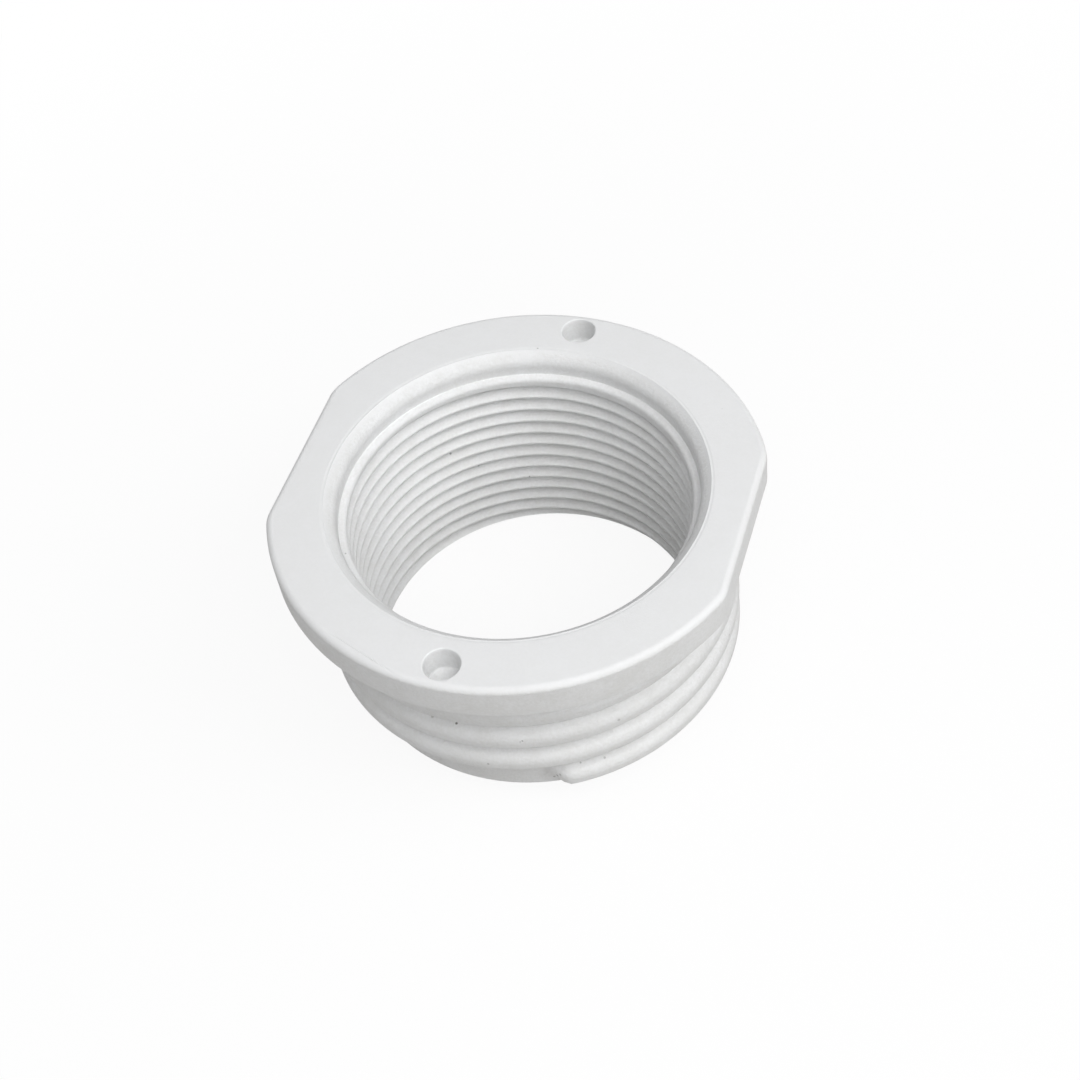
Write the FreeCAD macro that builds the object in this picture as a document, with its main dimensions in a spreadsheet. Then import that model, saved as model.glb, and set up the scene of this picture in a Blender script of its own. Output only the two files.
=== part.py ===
import FreeCAD, Part
import math
import os
import Sketcher

# A moulded plastic drain adapter: one piece, flange up, standing on its lower end face.
# The origin is the centre of that end face and +Z runs up the bore. The two wrench flats
# face +X and -X, and the two blind spanner holes lie on +Y and -Y.

# Driving dimensions, in millimetres and degrees
SIZES = [
    ("overall_height", 31.8),
    ("bore_diameter", 44.845),
    ("ledge_width", 1.03),
    ("ledge_drop", 0.55),
    ("mouth_flare", 1.65),
    ("mouth_rounding_depth", 2.8),
    ("mouth_depth", 3.35),
    ("sleeve_wall", 2.88),
    ("foot_chamfer", 1.5),
    ("ridge_height", 2.7),
    ("ridge_pitch", 4.75),
    ("ridge_crest_width", 1.9),
    ("ridge_flank_angle", 24.0),
    ("ridge_start_height", 5.03),
    ("ridge_start_angle", -67.5),
    ("ridge_sink", 0.2),
    ("neck_length", 2.2),
    ("flange_thickness", 5.1),
    ("flange_overhang", 4.27),
    ("flange_top_bevel", 0.8),
    ("flange_lower_bevel", 0.3),
    ("flat_depth", 2.2),
    ("flat_corner_radius", 5.0),
    ("spanner_hole_diameter", 4.5),
    ("spanner_hole_depth", 3.7),
    ("spanner_hole_bevel", 0.12),
    ("spanner_hole_margin", 0.1),
]

# Sizes that follow from the driving ones
DERIVED = [
    ("bore_radius", "=bore_diameter / 2"),
    ("mouth_wall_radius", "=bore_radius + ledge_width"),
    ("mouth_rim_radius", "=mouth_wall_radius + mouth_flare"),
    ("mouth_rounding_foot", "=overall_height - mouth_rounding_depth"),
    ("mouth_wall_foot", "=overall_height - mouth_depth"),
    ("ledge_height", "=mouth_wall_foot - ledge_drop"),
    ("root_radius", "=bore_radius + sleeve_wall"),
    ("crest_radius", "=root_radius + ridge_height"),
    ("flange_radius", "=crest_radius + flange_overhang"),
    ("flange_underside", "=overall_height - flange_thickness"),
    ("ridge_crest_half", "=ridge_crest_width / 2"),
    ("ridge_base_radius", "=root_radius - ridge_sink"),
    ("ridge_base_half", "=ridge_crest_half + (ridge_height + ridge_sink) * tan(ridge_flank_angle * 1deg)"),
    ("ridge_top_height", "=flange_underside - neck_length - ridge_base_half"),
    ("ridge_turns", "=(ridge_top_height - ridge_start_height) / ridge_pitch"),
    ("flat_distance", "=flange_radius - flat_depth"),
    ("flange_top_edge", "=flange_radius - flange_top_bevel"),
    ("spanner_hole_reach", "=spanner_hole_diameter / 2 + spanner_hole_bevel + spanner_hole_margin"),
    ("spanner_hole_radius_out", "=flange_top_edge - spanner_hole_reach"),
]

doc = FreeCAD.newDocument("drain_adapter")
sheet = doc.addObject("Spreadsheet::Sheet", "Sizes")
for row, (name, content) in enumerate(SIZES + DERIVED, start=1):
    sheet.set("A%d" % row, name)
    sheet.set("B%d" % row, str(content))
    sheet.setAlias("B%d" % row, name)
doc.recompute()

body = doc.addObject("PartDesign::Body", "adapter_body")
body.Label = "adapter_body"


def size(name):
    """The present value of a cell."""
    return float(sheet.get(name))


def origin_feature(role):
    """The body's own plane or axis with this role."""
    return next(item for item in body.Origin.OriginFeatures if item.Role == role)


def new_sketch(name, plane):
    """An empty sketch on one of the body's origin planes."""
    sketch = body.newObject("Sketcher::SketchObject", name)
    sketch.AttachmentSupport = [(origin_feature(plane), "")]
    sketch.MapMode = "FlatFace"
    return sketch


def value_of(sketch, expression):
    """The number that an expression comes to now."""
    result = sketch.evalExpression(expression)
    return float(getattr(result, "Value", result))


def tie(sketch, name, expression, *constraint):
    """Add a named dimension to a sketch and bind it to an expression."""
    index = sketch.addConstraint(Sketcher.Constraint(*constraint, value_of(sketch, expression)))
    sketch.renameConstraint(index, name)
    sketch.setExpression("Constraints." + name, expression)


def draw_outline(sketch, corners, upright_arc=None):
    """Close a loop through named corners, each held at two expressions from the sketch's origin.

    The side after the corner named upright_arc is an arc that ends upright at the next corner.
    """
    places = [FreeCAD.Vector(value_of(sketch, x), value_of(sketch, y), 0) for name, x, y in corners]
    sides = []
    for (name, x, y), start, stop in zip(corners, places, places[1:] + places[:1]):
        if name == upright_arc:
            radius = (start - stop).Length ** 2 / (2 * (start.x - stop.x))
            centre = FreeCAD.Vector(stop.x + radius, stop.y, 0)
            circle = Part.Circle(centre, FreeCAD.Vector(0, 0, 1), radius)
            side = Part.ArcOfCircle(circle, circle.parameter(start), circle.parameter(stop))
        else:
            side = Part.LineSegment(start, stop)
        sides.append(sketch.addGeometry(side, False))
    for side, following in zip(sides, sides[1:] + sides[:1]):
        sketch.addConstraint(Sketcher.Constraint("Coincident", side, 2, following, 1))
    for (name, x, y), side in zip(corners, sides):
        tie(sketch, name + "_x", x, "DistanceX", -1, 1, side, 1)
        tie(sketch, name + "_y", y, "DistanceY", -1, 1, side, 1)
        if name == upright_arc:
            sketch.addConstraint(Sketcher.Constraint("Horizontal", side, 3, side, 2))


def finish(feature, before=None, adds=True):
    """Recompute, and stop if a feature failed or did not change the volume the right way."""
    doc.recompute()
    if not feature.isValid() or feature.Shape.isNull() or not feature.Shape.isValid():
        raise RuntimeError(feature.Name + " failed")
    if before is not None:
        gain = feature.Shape.Volume - before.Shape.Volume
        if gain == 0 or (gain > 0) != adds:
            raise RuntimeError(feature.Name + " changed the volume by %.3f" % gain)
    return feature


def edge_names(shape, wanted):
    """The names of the edges that pass a test."""
    return ["Edge%d" % i for i, edge in enumerate(shape.Edges, start=1) if wanted(edge)]


def ease_edges(kind, name, base, wanted, property_name, amount):
    """Round or bevel the edges of a feature that pass a test."""
    eased = body.newObject("PartDesign::" + kind, name)
    eased.Base = (base, edge_names(base.Shape, wanted))
    eased.setExpression(property_name, amount)
    return finish(eased, base, adds=False)


# The turned form: end face, sleeve, flange, rounded mouth, its upright wall, the sloping ledge and the bore
section = new_sketch("section", "XZ_Plane")
draw_outline(
    section,
    [
        ("bore_foot", "Sizes.bore_radius", "0"),
        ("end_face_rim", "Sizes.root_radius - Sizes.foot_chamfer", "0"),
        ("sleeve_foot", "Sizes.root_radius", "Sizes.foot_chamfer"),
        ("sleeve_top", "Sizes.root_radius", "Sizes.flange_underside"),
        ("flange_lower_rim", "Sizes.flange_radius", "Sizes.flange_underside"),
        ("flange_upper_rim", "Sizes.flange_radius", "Sizes.overall_height"),
        ("mouth_rim", "Sizes.mouth_rim_radius", "Sizes.overall_height"),
        ("mouth_wall_top", "Sizes.mouth_wall_radius", "Sizes.mouth_rounding_foot"),
        ("mouth_wall_foot", "Sizes.mouth_wall_radius", "Sizes.mouth_wall_foot"),
        ("ledge", "Sizes.bore_radius", "Sizes.ledge_height"),
    ],
    upright_arc="mouth_rim",
)
turned = body.newObject("PartDesign::Revolution", "turned_form")
turned.Profile = section
turned.ReferenceAxis = (section, ["V_Axis"])
turned.Angle = 360.0
finish(turned)

# One wrench flat, cut through the whole thickness of the flange
flat_outline = new_sketch("flat_outline", "XY_Plane")
flat_outline.setExpression("AttachmentOffset.Base.z", "Sizes.overall_height")
draw_outline(
    flat_outline,
    [
        ("near_inner", "Sizes.flat_distance", "-Sizes.flange_radius"),
        ("near_outer", "Sizes.flange_radius + Sizes.flat_depth", "-Sizes.flange_radius"),
        ("far_outer", "Sizes.flange_radius + Sizes.flat_depth", "Sizes.flange_radius"),
        ("far_inner", "Sizes.flat_distance", "Sizes.flange_radius"),
    ],
)
wrench_flat = body.newObject("PartDesign::Pocket", "wrench_flat")
wrench_flat.Profile = flat_outline
wrench_flat.setExpression("Length", "Sizes.flange_thickness")
finish(wrench_flat, turned, adds=False)

# One blind spanner hole
hole_outline = new_sketch("spanner_hole_outline", "XY_Plane")
hole_outline.setExpression("AttachmentOffset.Base.z", "Sizes.overall_height")
hole_centre = FreeCAD.Vector(0, size("spanner_hole_radius_out"), 0)
hole_ring = Part.Circle(hole_centre, FreeCAD.Vector(0, 0, 1), size("spanner_hole_diameter") / 2)
ring = hole_outline.addGeometry(hole_ring, False)
hole_outline.addConstraint(Sketcher.Constraint("PointOnObject", ring, 3, -2))
tie(hole_outline, "radius_out", "Sizes.spanner_hole_radius_out", "DistanceY", -1, 1, ring, 3)
tie(hole_outline, "diameter", "Sizes.spanner_hole_diameter", "Diameter", ring)
spanner_hole = body.newObject("PartDesign::Pocket", "spanner_hole")
spanner_hole.Profile = hole_outline
spanner_hole.setExpression("Length", "Sizes.spanner_hole_depth")
finish(spanner_hole, wrench_flat, adds=False)

# The second flat and the second hole, half a turn round
both_sides = body.newObject("PartDesign::PolarPattern", "both_sides")
both_sides.Originals = [wrench_flat, spanner_hole]
both_sides.Axis = (origin_feature("Z_Axis"), [""])
both_sides.Angle = 360.0
both_sides.Occurrences = 2
body.Tip = both_sides
finish(both_sides, spanner_hole, adds=False)

TOP = size("overall_height")
UNDERSIDE = size("flange_underside")
MARGIN = 0.01


def is_flat_corner(edge):
    """An upright edge where a flat meets the round of the flange."""
    first, last = edge.Vertexes[0].Point, edge.Vertexes[-1].Point
    upright = abs(abs(first.z - last.z) - size("flange_thickness")) < MARGIN
    return upright and first.sub(last).cross(FreeCAD.Vector(0, 0, 1)).Length < MARGIN


def is_flange_rim(edge, height):
    """Part of the flange's outer rim at this height."""
    level = all(abs(vertex.Z - height) < MARGIN for vertex in edge.Vertexes)
    outside = all(math.hypot(vertex.X, vertex.Y) > size("flat_distance") for vertex in edge.Vertexes)
    return level and outside and not is_hole_rim(edge)


def is_hole_rim(edge):
    """The mouth of a spanner hole."""
    round_edge = isinstance(edge.Curve, Part.Circle)
    return round_edge and abs(edge.Curve.Radius - size("spanner_hole_diameter") / 2) < MARGIN


# Softened edges of the moulding
corners = ease_edges("Fillet", "flat_corners", both_sides, is_flat_corner, "Radius", "Sizes.flat_corner_radius")
top_rim = ease_edges(
    "Chamfer", "flange_top_rim", corners, lambda edge: is_flange_rim(edge, TOP), "Size", "Sizes.flange_top_bevel"
)
lower_rim = ease_edges(
    "Chamfer",
    "flange_lower_rim",
    top_rim,
    lambda edge: is_flange_rim(edge, UNDERSIDE),
    "Size",
    "Sizes.flange_lower_bevel",
)
hole_bevels = ease_edges(
    "Chamfer",
    "spanner_hole_bevels",
    lower_rim,
    lambda edge: is_hole_rim(edge) and edge.CenterOfMass.z > TOP - MARGIN,
    "Size",
    "Sizes.spanner_hole_bevel",
)

# The coarse outer thread: one raised ridge, wound right-handed from its blunt start by the end
# face up to the plain neck under the flange
ridge_section = new_sketch("ridge_section", "XZ_Plane")
ridge_section.AttachmentOffset = FreeCAD.Placement(
    FreeCAD.Vector(0, 0, 0), FreeCAD.Rotation(FreeCAD.Vector(0, 1, 0), size("ridge_start_angle"))
)
ridge_section.setExpression("AttachmentOffset.Rotation.Angle", "Sizes.ridge_start_angle")
draw_outline(
    ridge_section,
    [
        ("low_base", "Sizes.ridge_base_radius", "Sizes.ridge_start_height - Sizes.ridge_base_half"),
        ("low_crest", "Sizes.crest_radius", "Sizes.ridge_start_height - Sizes.ridge_crest_half"),
        ("high_crest", "Sizes.crest_radius", "Sizes.ridge_start_height + Sizes.ridge_crest_half"),
        ("high_base", "Sizes.ridge_base_radius", "Sizes.ridge_start_height + Sizes.ridge_base_half"),
    ],
)
outer_thread = body.newObject("PartDesign::AdditiveHelix", "outer_thread")
outer_thread.Profile = ridge_section
outer_thread.ReferenceAxis = (ridge_section, ["V_Axis"])
outer_thread.Mode = "pitch-turns-angle"
outer_thread.setExpression("Pitch", "Sizes.ridge_pitch")
outer_thread.setExpression("Turns", "Sizes.ridge_turns")
finish(outer_thread, hole_bevels)

# Nothing is written unless every object is sound
for item in doc.Objects:
    if "Invalid" in item.State or "Error" in item.State:
        raise RuntimeError(item.Name + " is " + ", ".join(item.State))
for item in (section, flat_outline, hole_outline, ridge_section):
    if not item.FullyConstrained:
        raise RuntimeError(item.Name + " is not fully constrained")
if len(body.Shape.Solids) != 1 or not body.Shape.isValid():
    raise RuntimeError("the body is not one sound solid")

os.makedirs("parts", exist_ok=True)
body.Shape.exportStep("parts/" + body.Label + ".step")
print("%s: %.0f cubic millimetres" % (body.Label, body.Shape.Volume))
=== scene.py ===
import math

import bpy
from collections import Counter
from mathutils import Matrix, Vector


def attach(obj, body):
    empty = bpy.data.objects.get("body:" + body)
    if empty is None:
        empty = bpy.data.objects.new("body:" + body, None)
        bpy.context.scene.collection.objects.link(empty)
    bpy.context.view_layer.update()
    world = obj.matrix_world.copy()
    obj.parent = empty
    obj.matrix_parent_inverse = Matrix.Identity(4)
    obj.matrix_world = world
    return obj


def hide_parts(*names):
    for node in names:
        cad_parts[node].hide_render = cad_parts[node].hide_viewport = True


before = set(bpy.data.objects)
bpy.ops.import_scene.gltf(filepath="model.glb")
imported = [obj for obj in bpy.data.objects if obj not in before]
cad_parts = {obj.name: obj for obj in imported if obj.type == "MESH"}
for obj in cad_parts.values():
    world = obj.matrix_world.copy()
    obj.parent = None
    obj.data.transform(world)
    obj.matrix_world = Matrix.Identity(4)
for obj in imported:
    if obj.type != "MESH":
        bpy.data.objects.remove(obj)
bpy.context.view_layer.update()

# The camera stands above and in front of the adapter and looks down into its mouth, where the photograph was
# taken from. It is turned a little about its own axis and has no shift.
mm = 0.001
camera_place = Vector((62.640, -137.626, 195.053)) * mm
camera_right = (0.95153, 0.29045, -0.10110)
camera_up = (-0.15903, 0.74607, 0.64660)
camera_back = (0.26323, -0.59919, 0.75610)
camera_lens = 58.251
camera_sensor = 36.0
camera_nearest = 0.01

bpy.ops.object.camera_add()
camera = bpy.context.object
camera.name = "camera"
camera_turn = Matrix((camera_right, camera_up, camera_back)).transposed().to_4x4()
camera.matrix_world = Matrix.Translation(camera_place) @ camera_turn
camera.data.lens = camera_lens
camera.data.sensor_width = camera_sensor
camera.data.clip_start = camera_nearest
bpy.context.scene.camera = camera

# The studio is a pale floor and an even pale surround, with soft lamps high up, on the right and in front.
# Floor and surround show as white to the camera, and the floor keeps the adapter's shadow.
surround_level = 0.26
surround_colour = (0.985, 0.99, 1.0, 1)
pure_white = (1, 1, 1, 1)
lamp_distance = 0.9
floor_size = 4.0
floor_gap = 0.02 * mm
floor_glow = 0.9
glow_starts = 0.05
glow_full = 0.2
floor_seen = (0.97, 0.97, 0.97, 1)
floor_bounce = (0.38, 0.37, 0.355, 1)


class Wire:
    """A value in a node tree. Sums and products of wires add Math nodes, and make() adds any other node."""

    def __init__(self, tree, socket=None):
        self.tree = tree
        self.socket = socket

    def make(self, kind, settings=(), sockets=(), output=0):
        node = self.tree.nodes.new("ShaderNode" + kind)
        for name, value in dict(settings).items():
            setattr(node, name, value)
        for name, value in dict(sockets).items():
            if isinstance(value, Wire):
                self.tree.links.new(value.socket, node.inputs[name])
            else:
                node.inputs[name].default_value = value
        return Wire(self.tree, node.outputs[output] if node.outputs else None)

    def __getitem__(self, name):
        return Wire(self.tree, self.socket.node.outputs[name])

    def __add__(self, other):
        return self.make("Math", {"operation": "ADD"}, {0: self, 1: other})

    def __radd__(self, other):
        return self.make("Math", {"operation": "ADD"}, {0: other, 1: self})

    def __sub__(self, other):
        return self.make("Math", {"operation": "SUBTRACT"}, {0: self, 1: other})

    def __rsub__(self, other):
        return self.make("Math", {"operation": "SUBTRACT"}, {0: other, 1: self})

    def __mul__(self, other):
        return self.make("Math", {"operation": "MULTIPLY"}, {0: self, 1: other})

    def __rmul__(self, other):
        return self.make("Math", {"operation": "MULTIPLY"}, {0: other, 1: self})


def seen_directly(wire):
    """1 where the camera sees the place, straight, in a gloss or through glass, and 0 for its light."""
    path = wire.make("LightPath")
    seen = path["Is Camera Ray"] + path["Is Glossy Ray"] + path["Is Transmission Ray"]
    return wire.make("Clamp", {}, {"Value": seen})


bpy.ops.object.select_all(action="DESELECT")
bpy.ops.mesh.primitive_grid_add(
    x_subdivisions=4, y_subdivisions=4, size=floor_size, location=(0, 0, -floor_gap),
)
floor = bpy.context.object
floor.name = "floor"
floor_material = bpy.data.materials.new("pale_floor")
floor_material.use_nodes = True
floor_material.node_tree.nodes.clear()
wire = Wire(floor_material.node_tree)
seen = seen_directly(wire)
floor_colour = wire.make("Mix", {"data_type": "RGBA"}, {0: seen, 6: floor_bounce, 7: floor_seen}, output=2)
floor_paint = wire.make("BsdfDiffuse", {}, {"Color": floor_colour})
floor_white = wire.make("Emission")
away = wire.make("VectorMath", {"operation": "LENGTH"}, {0: wire.make("TexCoord")["Object"]})["Value"]
glow = wire.make("MapRange", {"interpolation_type": "SMOOTHSTEP"}, {
    "Value": away, "From Min": glow_starts, "From Max": glow_full, "To Min": floor_glow, "To Max": 1.0,
})
wire.make("OutputMaterial", {}, {
    "Surface": wire.make("MixShader", {}, {0: seen * glow, 1: floor_paint, 2: floor_white})
})
floor.data.materials.append(floor_material)

world = bpy.data.worlds.new("surround")
bpy.context.scene.world = world
world.use_nodes = True
world.node_tree.nodes.clear()
wire = Wire(world.node_tree)
seen = seen_directly(wire)
surround = wire.make("Background", {}, {
    "Color": wire.make("Mix", {"data_type": "RGBA"}, {0: seen, 6: surround_colour, 7: pure_white}, output=2),
    "Strength": surround_level + seen * (1 - surround_level),
})
wire.make("OutputWorld", {}, {"Surface": surround})

for name, azimuth, height, side, power in (
    ("high_lamp", -50, 66, 0.8, 3.15),
    ("side_lamp", 0, 44, 0.5, 2.65),
    ("front_lamp", -62, 42, 0.6, 2.05),
):
    bpy.ops.object.light_add(type="AREA")
    lamp = bpy.context.object
    lamp.name = name
    lamp.data.size = side
    lamp.data.energy = power
    turn = math.radians(azimuth)
    rise = math.radians(height)
    direction = Vector((math.cos(rise) * math.cos(turn), math.cos(rise) * math.sin(turn), math.sin(rise)))
    lamp.location = direction * lamp_distance
    lamp.rotation_euler = direction.to_track_quat("Z", "Y").to_euler()

bpy.context.scene.view_settings.view_transform = "Standard"

# The adapter is one injection moulding in white plastic. The flange is round with two wrench flats. A fine
# moulding line runs round its mouth, where the rim rolls in to an upright wall over a rounded band.
around = 186
flat_steps = 11
one_point = 0.002 * mm
in_plane = 0.01 * mm
small_rounding = 1 * mm
small_arc_step = math.radians(16)
large_arc_step = math.radians(10)
overall_height = 31.8 * mm
bore_radius = 22.4225 * mm
root_radius = 25.3025 * mm
flange_radius = 32.2725 * mm
flange_underside = 26.7 * mm
neck_foot = 24.5 * mm
neck_fillet = 0.25 * mm
face_ring = 28.0 * mm
mouth_line = 25.04 * mm
line_reach = 0.3 * mm
line_shoulder = 0.05 * mm
line_depth = 0.09 * mm
mouth_rim = 24.85 * mm
mouth_top = overall_height - 0.06 * mm
mouth_wall = 23.4525 * mm
mouth_slope = math.radians(43)
mouth_rounding = 1.72 * mm
mouth_wall_foot = 28.45 * mm
wall_foot_rounding = 0.05 * mm
ledge_fall = 0.06 * mm
band_rounding = 0.6 * mm
band_foot = 27.7 * mm
flat_distance = flange_radius * math.cos(math.tau * flat_steps / around)
corner_rounding = 0.9 * mm
top_rounding = 0.9 * mm
lower_rounding = 0.3 * mm
outside_ring = 29.5 * mm
inside_flat = 29.9 * mm
at_corner = 32 * mm


def rounded(corners):
    """A line through (radius, height, rounding) corners, with each corner rounded as it says."""
    line = []
    for number, (across, up, rounding) in enumerate(corners):
        corner = Vector((across, up))
        if not rounding:
            line.append(corner)
            continue
        back = (Vector(corners[number - 1][:2]) - corner).normalized()
        ahead = (Vector(corners[number + 1][:2]) - corner).normalized()
        turn = math.pi - back.angle(ahead)
        reach = rounding * math.tan(turn / 2)
        centre = corner + (back + ahead).normalized() * (rounding / math.cos(turn / 2))
        first = (corner + back * reach - centre).normalized()
        last = (corner + ahead * reach - centre).normalized()
        arc_step = small_arc_step if rounding < small_rounding else large_arc_step
        steps = max(2, math.ceil(turn / arc_step))
        for step in range(steps + 1):
            line.append(centre + rounding * first.slerp(last, step / steps).normalized())
    return line


def draw(name, line):
    """A new object that is one line in the plane of X and Z, drawn by extruding a single point."""
    bpy.ops.object.select_all(action="DESELECT")
    bpy.ops.mesh.primitive_circle_add(vertices=3, radius=mm)
    piece = bpy.context.object
    piece.name = name
    bpy.ops.object.mode_set(mode="EDIT")
    bpy.ops.mesh.select_mode(type="VERT")
    bpy.ops.mesh.select_all(action="SELECT")
    bpy.ops.mesh.merge(type="CENTER")
    bpy.ops.transform.translate(value=(line[0].x, 0, line[0].y))
    for here, there in zip(line, line[1:]):
        step = (there.x - here.x, 0, there.y - here.y)
        bpy.ops.mesh.extrude_region_move(TRANSFORM_OT_translate={"value": step})
    bpy.ops.object.mode_set(mode="OBJECT")
    return piece


def spun(name, line, steps):
    """The line turned once about the axis of the bore."""
    piece = draw(name, line)
    bpy.ops.object.mode_set(mode="EDIT")
    bpy.ops.mesh.select_all(action="SELECT")
    bpy.ops.mesh.spin(steps=steps, angle=math.tau, center=(0, 0, 0), axis=(0, 0, 1))
    bpy.ops.mesh.select_all(action="SELECT")
    bpy.ops.mesh.remove_doubles(threshold=one_point)
    bpy.ops.mesh.normals_make_consistent(inside=False)
    bpy.ops.object.mode_set(mode="OBJECT")
    return piece


def pick_edges(piece, test):
    """Edit mode with only those edges selected whose two ends pass the test."""
    bpy.ops.object.mode_set(mode="OBJECT")
    mesh = piece.data
    for group in (mesh.vertices, mesh.edges, mesh.polygons):
        group.foreach_set("select", [False] * len(group))
    for edge in mesh.edges:
        first, last = (mesh.vertices[end].co for end in edge.vertices)
        edge.select = test(first, last)
    bpy.context.tool_settings.mesh_select_mode = (False, True, False)
    bpy.ops.object.mode_set(mode="EDIT")


head = spun("moulded_adapter", rounded([
    (root_radius, neck_foot, 0),
    (root_radius, flange_underside, neck_fillet),
    (flange_radius, flange_underside, 0),
    (flange_radius, overall_height, 0),
    (face_ring, overall_height, 0),
    (mouth_line + line_reach, overall_height, 0),
    (mouth_line + line_reach / 2, overall_height - line_shoulder, 0),
    (mouth_line, overall_height - line_depth, 0),
    (mouth_rim, mouth_top, 0),
    (mouth_wall, mouth_top - (mouth_rim - mouth_wall) * math.tan(mouth_slope), mouth_rounding),
    (mouth_wall, mouth_wall_foot, wall_foot_rounding),
    (bore_radius, mouth_wall_foot - ledge_fall, band_rounding),
    (bore_radius, band_foot, 0),
]), around)
bpy.ops.object.mode_set(mode="EDIT")
for side in (1, -1):
    bpy.ops.mesh.select_all(action="SELECT")
    bpy.ops.mesh.bisect(
        plane_co=(side * flat_distance, 0, 0), plane_no=(side, 0, 0),
        use_fill=True, clear_outer=True, threshold=in_plane,
    )


def on_flat(point):
    """Whether the point lies in one of the two wrench flats."""
    return abs(abs(point.x) - flat_distance) < in_plane


def on_corner(point):
    """Whether the point lies on an upright corner, where a wrench flat meets the round."""
    return on_flat(point) and point.xy.length > at_corner


def on_rim(point, height):
    """Whether the point lies on the flange's outer edge at that height."""
    return abs(point.z - height) < in_plane and point.xy.length > outside_ring


def round_edges(width, segments):
    """Rounds the selected edges, width back from each."""
    bpy.ops.mesh.bevel(
        offset=width, segments=segments, affect="EDGES", clamp_overlap=False, loop_slide=False,
    )


def is_spoke(first, last):
    """Whether the edge runs from an upright corner into the top face or the underside."""
    return on_corner(first) != on_corner(last) and min(first.xy.length, last.xy.length) < inside_flat


pick_edges(head, is_spoke)
bpy.ops.mesh.dissolve_edges(use_verts=False)
pick_edges(head, lambda a, b: on_corner(a) and on_corner(b) and (a.xy - b.xy).length < in_plane)
round_edges(corner_rounding, 4)
pick_edges(head, lambda a, b: on_rim(a, overall_height) and on_rim(b, overall_height))
round_edges(top_rounding, 6)
pick_edges(head, lambda a, b: on_rim(a, flange_underside) and on_rim(b, flange_underside))
round_edges(lower_rounding, 2)
bpy.ops.object.mode_set(mode="OBJECT")

# Two blind holes in the flange take the pins of a spanner. Each is left by a core pin with a flat end, and
# its edge at the top is slightly rolled over.
hole_circle = 29.0025 * mm
hole_radius = 2.25 * mm
hole_floor = overall_height - 3.7 * mm
hole_roll = 0.2 * mm
hole_floor_rounding = 0.3 * mm
roll_start = 1.001
roll_turns = (150, 120, 98)
pin_steps = 48
pin_head = 0.4 * mm
pin_rise = 0.1 * mm

pin_line = rounded([
    (0, hole_floor, 0),
    (hole_radius, hole_floor, hole_floor_rounding),
    (hole_radius, overall_height - hole_roll * roll_start, 0),
])
for turn in roll_turns:
    turn = math.radians(turn)
    across = hole_radius + hole_roll * (1 + math.cos(turn))
    pin_line.append(Vector((across, overall_height - hole_roll * (1 - math.sin(turn)))))
pin_line.append(Vector((hole_radius + hole_roll + pin_head, overall_height + pin_rise)))
pin_line.append(Vector((0, overall_height + pin_rise)))

for side in (1, -1):
    pin = spun("core_pin", pin_line, pin_steps)
    bpy.ops.object.mode_set(mode="EDIT")
    bpy.ops.mesh.select_all(action="SELECT")
    bpy.ops.transform.translate(value=(0, side * hole_circle, 0))
    bpy.ops.object.mode_set(mode="OBJECT")
    cut = head.modifiers.new("hole", "BOOLEAN")
    cut.operation = "DIFFERENCE"
    cut.solver = "EXACT"
    cut.object = pin
    bpy.ops.object.select_all(action="DESELECT")
    head.select_set(True)
    bpy.context.view_layer.objects.active = head
    bpy.ops.object.modifier_apply(modifier=cut.name)
    bpy.data.objects.remove(pin)

# The sleeve ends below in a flat end face with a wide bevel around it. It is part of the same moulding, and
# the fine thread leaves the bore through it.
foot_bevel = 1.5 * mm
foot_top = 1.9 * mm
foot_edge = 0.1 * mm
foot_shoulder = 0.4 * mm
end_face_inner = 23.65 * mm

foot = spun("foot", rounded([
    (end_face_inner, 0, 0),
    (root_radius - foot_bevel, 0, foot_edge),
    (root_radius, foot_bevel, foot_shoulder),
    (root_radius, foot_top, 0),
]), around)

# The coarse outer thread is one broad ridge with a rounded crest and leaning flanks that climbs the sleeve to
# the right. It begins with a short tongue above the foot and stops under the flange.
ridge_pitch = 4.75 * mm
ridge_height = 2.7 * mm
ridge_crest = 0.95 * mm
ridge_flank = math.radians(24)
ridge_foot = ridge_crest + ridge_height * math.tan(ridge_flank)
ridge_fillet = 0.15 * mm
crest_lower_rounding = 0.5 * mm
crest_upper_rounding = 1.5 * mm
ridge_first = 5.03 * mm
ridge_last = 22.2588 * mm
ridge_first_turn = -67.5
ridge_at_zero = ridge_first - ridge_pitch * ridge_first_turn / 360
ridge_tongue_turn = 8
ridge_tongue = ridge_pitch * ridge_tongue_turn / 360
ridge_lead = 0.5
ridge_narrowing = 0.5
ridge_turns = 9
ridge_turns_below = 3
seam = 0.05 * mm
trim_reach = 0.001 * mm


def eased(share):
    """A share between 0 and 1 that starts and ends softly."""
    share = min(max(share, 0), 1)
    return share * share * (3 - 2 * share)


def wound(name, line, pitch, turns):
    """The line turned about the axis of the bore, climbing one pitch a turn."""
    piece = draw(name, line)
    screw = piece.modifiers.new("screw", "SCREW")
    screw.axis = "Z"
    screw.angle = math.tau
    screw.screw_offset = pitch
    screw.iterations = turns
    screw.steps = around
    screw.render_steps = around
    screw.use_merge_vertices = True
    screw.merge_threshold = one_point
    bpy.ops.object.modifier_apply(modifier=screw.name)
    bpy.ops.object.mode_set(mode="EDIT")
    bpy.ops.mesh.select_all(action="SELECT")
    bpy.ops.mesh.remove_doubles(threshold=one_point)
    bpy.ops.object.mode_set(mode="OBJECT")
    return piece


def turn_height(point, pitch, at_zero):
    """The height of the middle of that turn of a thread which the point belongs to."""
    climb = at_zero + pitch * math.atan2(point.y, point.x) / math.tau
    return climb + pitch * round((point.z - climb) / pitch)


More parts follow.
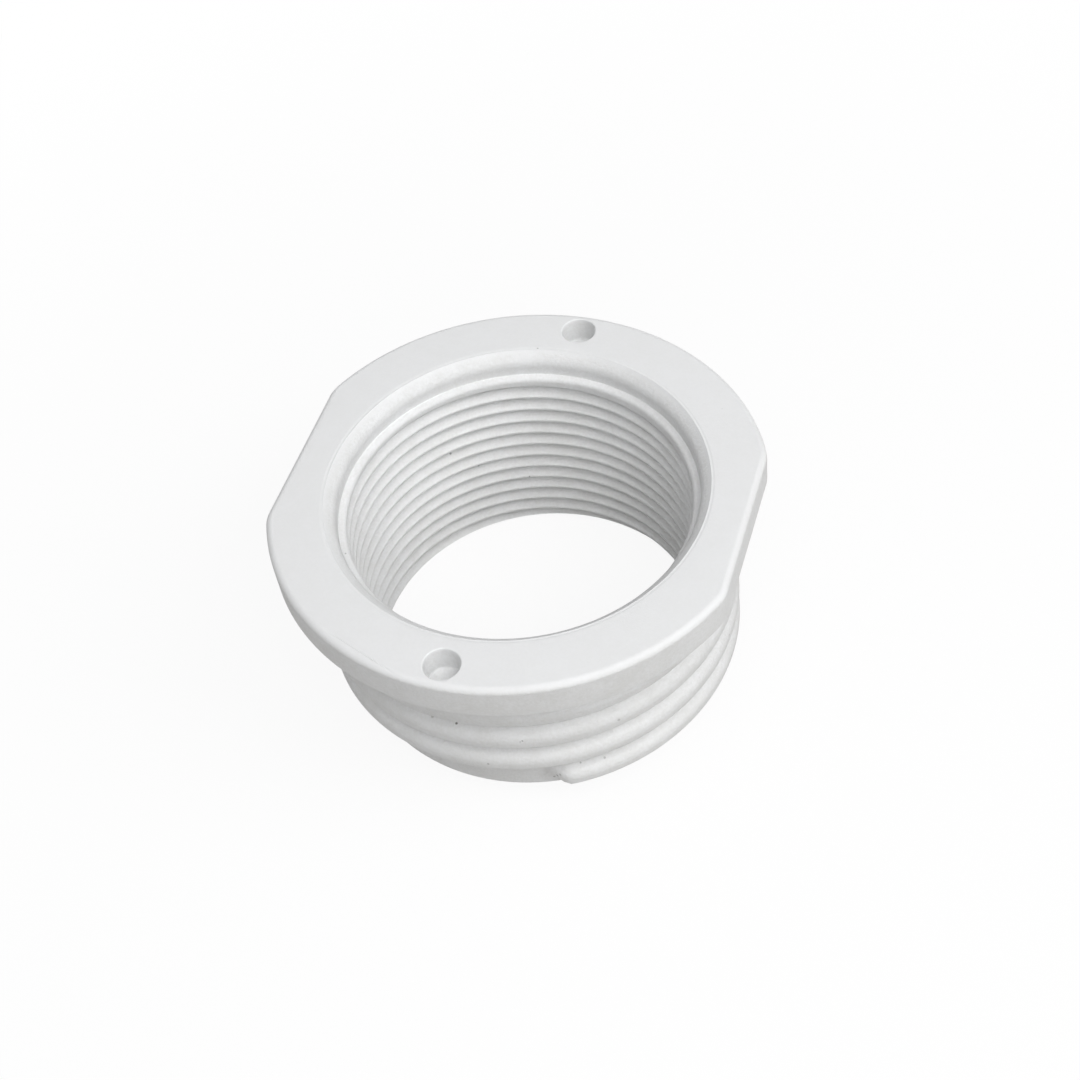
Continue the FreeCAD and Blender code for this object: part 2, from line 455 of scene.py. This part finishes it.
def trim(piece, low, high):
    """Cuts the piece off below and above."""
    bpy.ops.object.mode_set(mode="EDIT")
    bpy.ops.mesh.select_all(action="SELECT")
    bpy.ops.mesh.bisect(plane_co=(0, 0, low), plane_no=(0, 0, 1), clear_inner=True, threshold=trim_reach)
    bpy.ops.mesh.select_all(action="SELECT")
    bpy.ops.mesh.bisect(plane_co=(0, 0, high), plane_no=(0, 0, 1), clear_outer=True, threshold=trim_reach)
    bpy.ops.object.mode_set(mode="OBJECT")


ridge_start = ridge_at_zero - ridge_turns_below * ridge_pitch
ridge_line = rounded([
    (root_radius, ridge_start - ridge_pitch / 2, 0),
    (root_radius, ridge_start - ridge_foot, ridge_fillet),
    (root_radius + ridge_height, ridge_start - ridge_crest, crest_lower_rounding),
    (root_radius + ridge_height, ridge_start + ridge_crest, crest_upper_rounding),
    (root_radius, ridge_start + ridge_foot, ridge_fillet),
    (root_radius, ridge_start + ridge_pitch / 2, 0),
])
sleeve = wound("sleeve", ridge_line, ridge_pitch, ridge_turns)
for vertex in sleeve.data.vertices:
    height = turn_height(vertex.co, ridge_pitch, ridge_at_zero)
    begun = eased((height - ridge_first) / ridge_tongue + ridge_lead)
    share = begun * eased((ridge_last - height) / ridge_tongue)
    depth = (vertex.co.xy.length - root_radius) * share
    vertex.co.xy *= (root_radius + depth) / vertex.co.xy.length
    if 0 < share < 1:
        vertex.co.z -= (vertex.co.z - height) * ridge_narrowing * (1 - share)
trim(sleeve, foot_top + seam, neck_foot - seam)

# The fine inner thread is a pipe thread with rounded crests and grooves, moulded into the bore on a core that
# was screwed out. Its first groove fades in under the rounded band, and the last leaves through the end face.
thread_pitch = 2.309 * mm
thread_depth = 1.479 * mm
thread_round = 0.317 * mm
thread_flank = math.radians(27.5)
thread_turns = 15
thread_turns_below = 12
groove_below_top = 6.25 * mm
groove_turn = 23.717
groove_at_zero = overall_height - groove_below_top - thread_pitch * groove_turn / 360
groove_first = overall_height - 4.75 * mm
groove_fade = 0.3 * mm
groove_end_share = 0.76
run_out_foot = 1.0 * mm
run_out_length = 2.0 * mm

thread_start = groove_at_zero - thread_turns_below * thread_pitch
groove_mouth = thread_pitch / 4 + thread_depth / 2 * math.tan(thread_flank)
groove_bed = thread_pitch / 4 - thread_depth / 2 * math.tan(thread_flank)
thread_line = rounded([
    (bore_radius, thread_start - thread_pitch / 2, 0),
    (bore_radius, thread_start - groove_mouth, thread_round),
    (bore_radius + thread_depth, thread_start - groove_bed, thread_round),
    (bore_radius + thread_depth, thread_start + groove_bed, thread_round),
    (bore_radius, thread_start + groove_mouth, thread_round),
    (bore_radius, thread_start + thread_pitch / 2, 0),
])
bore = wound("bore", thread_line, thread_pitch, thread_turns)
for vertex in bore.data.vertices:
    height = turn_height(vertex.co, thread_pitch, groove_at_zero)
    share = eased((groove_first - height) / groove_fade)
    run_out = eased((vertex.co.z - run_out_foot) / run_out_length)
    share *= groove_end_share + (1 - groove_end_share) * run_out
    depth = (vertex.co.xy.length - bore_radius) * share
    vertex.co.xy *= (bore_radius + depth) / vertex.co.xy.length
trim(bore, 0, band_foot - seam)

# Foot, sleeve, bore and head are one moulding, so their surfaces are sewn into one closed skin. The plastic
# is white and satin, with a fine grain that is smoother on the flange's top, mottling and small dark stains.
wall_middle = 24.5 * mm
half_way = overall_height / 2
sharp_angle = math.radians(40)
face_weight = 50

bpy.ops.object.select_all(action="DESELECT")
for part in (foot, sleeve, bore, head):
    part.select_set(True)
bpy.context.view_layer.objects.active = head
bpy.ops.object.join()


def sew(piece, test):
    """Joins the two open edges whose points pass the test with a band of faces."""
    bpy.ops.object.mode_set(mode="OBJECT")
    mesh = piece.data
    used = Counter(key for face in mesh.polygons for key in face.edge_keys)
    open_keys = {key for key, count in used.items() if count == 1}
    for group in (mesh.vertices, mesh.edges, mesh.polygons):
        group.foreach_set("select", [False] * len(group))
    for edge in mesh.edges:
        is_open = tuple(sorted(edge.vertices)) in open_keys
        edge.select = is_open and all(test(mesh.vertices[end].co) for end in edge.vertices)
    bpy.context.tool_settings.mesh_select_mode = (False, True, False)
    bpy.ops.object.mode_set(mode="EDIT")
    bpy.ops.mesh.bridge_edge_loops()


sew(head, lambda point: point.xy.length < wall_middle and point.z < half_way)
sew(head, lambda point: point.xy.length > wall_middle and point.z < half_way)
sew(head, lambda point: point.xy.length > wall_middle and point.z > half_way)
sew(head, lambda point: point.xy.length < wall_middle and point.z > half_way)
bpy.ops.mesh.select_all(action="SELECT")
bpy.ops.mesh.remove_doubles(threshold=one_point)
bpy.ops.mesh.normals_make_consistent(inside=False)
bpy.ops.object.mode_set(mode="OBJECT")
bpy.ops.object.shade_smooth_by_angle(angle=sharp_angle)
weigh = head.modifiers.new("flat_faces", "WEIGHTED_NORMAL")
weigh.keep_sharp = True
weigh.weight = face_weight
bpy.ops.object.modifier_apply(modifier=weigh.name)

# Small stains of dirt lie on the sleeve, in the bore and on the mouth. Each has a place and a radius in mm,
# and a darkness.
stains = (
    ((-1.28, -26.65, 15.74), 0.24, 0.95),
    ((7.14, -26.86, 14.86), 0.20, 0.75),
    ((7.38, -26.74, 14.99), 0.20, 0.85),
    ((7.61, -26.61, 15.10), 0.18, 0.65),
    ((2.55, -27.79, 9.68), 0.22, 0.45),
    ((13.14, -23.16, 6.68), 0.18, 0.45),
    ((15.93, -21.69, 6.63), 0.24, 0.40),
    ((18.21, -21.07, 15.07), 0.28, 0.40),
    ((27.75, -2.15, 10.96), 0.22, 0.50),
    ((27.93, -1.61, 5.68), 0.20, 0.50),
    ((-4.64, -26.27, 15.64), 0.30, 0.40),
    ((10.81, -24.75, 5.44), 0.26, 0.45),
    ((10.32, -24.66, 4.89), 0.26, 0.55),
    ((9.34, -23.51, 2.57), 0.22, 0.45),
    ((-16.73, 16.54, 16.64), 0.22, 0.60),
    ((-7.24, 21.23, 8.86), 0.18, 0.60),
    ((-13.98, 19.09, 12.03), 0.18, 0.50),
    ((-4.60, 24.62, 31.71), 0.20, 0.40),
    ((-19.11, -12.94, 28.43), 0.18, 0.45),
)
white = (0.84, 0.845, 0.85, 1)
shaded_white = (0.775, 0.777, 0.77, 1)
dirt = (0.16, 0.155, 0.14, 1)
grain_scale = 2600
pore_scale = 7000
mottle_scale = 420
cloud_scale = 70
speck_scale = 210
speck_core = 0.018
speck_edge = 0.042
speck_rarity = 0.72
speck_certain = 0.76
speck_darkness = 0.4
stain_core = 0.4
stain_raggedness = 0.25 * mm
relief_depth = 0.08 * mm
smoother_on_top = 0.9
satin = 0.46
top_skin_starts = overall_height - 0.7 * mm
top_skin_full = overall_height - 0.1 * mm

plastic = bpy.data.materials.new("white_moulded_plastic")
plastic.use_nodes = True
plastic.node_tree.nodes.clear()
wire = Wire(plastic.node_tree)
place = wire.make("TexCoord")["Object"]
axes = wire.make("SeparateXYZ", {}, {"Vector": place})


def soft_step(value, low, high):
    """0 below low and 1 above high, with a soft change between them."""
    ends = {"Value": value, "From Min": low, "From Max": high}
    return wire.make("MapRange", {"interpolation_type": "SMOOTHSTEP"}, ends)


def noise(scale, detail):
    """An even random value around 0.5, with marks about one over the scale wide."""
    return wire.make("TexNoise", {}, {"Vector": place, "Scale": scale, "Detail": detail})


on_top = soft_step(axes["Z"], top_skin_starts, top_skin_full)
grain = noise(grain_scale, 3.0)
pores = noise(pore_scale, 2.0)
mottle = noise(mottle_scale, 4.0)
cloud = noise(cloud_scale, 3.0)

speckle = wire.make("TexVoronoi", {}, {"Vector": place, "Scale": speck_scale})
chosen = wire.make("SeparateColor", {}, {"Color": speckle["Color"]})["Red"]
specks = 1 - soft_step(speckle["Distance"], speck_core, speck_edge)
specks *= soft_step(chosen, speck_rarity, speck_certain)

colour = wire.make("Mix", {"data_type": "RGBA"}, {
    0: soft_step(0.3 * mottle + 0.3 * cloud + 0.4 * grain, 0.35, 0.65) * (1 - 0.7 * on_top),
    6: white,
    7: shaded_white,
}, output=2)
marks = specks * speck_darkness
for spot, size, darkness in stains:
    centre = tuple(value * mm for value in spot)
    away = wire.make("VectorMath", {"operation": "DISTANCE"}, {0: place, 1: centre})["Value"]
    ragged = away + (grain - 0.5) * stain_raggedness
    stain = (1 - soft_step(ragged, stain_core * size * mm, size * mm)) * darkness
    marks = wire.make("Math", {"operation": "MAXIMUM"}, {0: marks, 1: stain})
colour = wire.make("Mix", {"data_type": "RGBA"}, {0: marks, 6: colour, 7: dirt}, output=2)

# A faint line left by a trimming tool runs straight across the near left of the flange's rounded edge. It is
# as shallow as the grain, so it belongs to the relief of the surface.
line_slope_x = 0.3785
line_slope_y = 0.9257
line_from_axis = 31.1 * mm
line_bed = 0.02 * mm
line_edge = 0.14 * mm
from_line = axes["X"] * line_slope_x + axes["Y"] * line_slope_y + line_from_axis
off_line = wire.make("Math", {"operation": "ABSOLUTE"}, {0: from_line})
line_left = soft_step(axes["X"], -16.0 * mm, -13.0 * mm)
line_right = 1 - soft_step(axes["X"], -6.5 * mm, -4.5 * mm)
tool_line = (1 - soft_step(off_line, line_bed, line_edge)) * line_left * line_right * on_top

relief = grain * (1 - smoother_on_top * on_top)
relief += 0.35 * pores * (1 - 0.5 * on_top)
relief += 0.5 * mottle * (1 - 0.6 * on_top)
relief -= 0.5 * tool_line
bump = wire.make("Bump", {}, {"Strength": 1.0, "Distance": relief_depth, "Height": relief})
shader = wire.make("BsdfPrincipled", {}, {
    "Base Color": colour,
    "Roughness": satin + 0.14 * mottle + 0.06 * grain,
    "Normal": bump,
})
wire.make("OutputMaterial", {}, {"Surface": shader})
head.data.materials.clear()
head.data.materials.append(plastic)

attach(head, "root")
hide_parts("adapter_body")
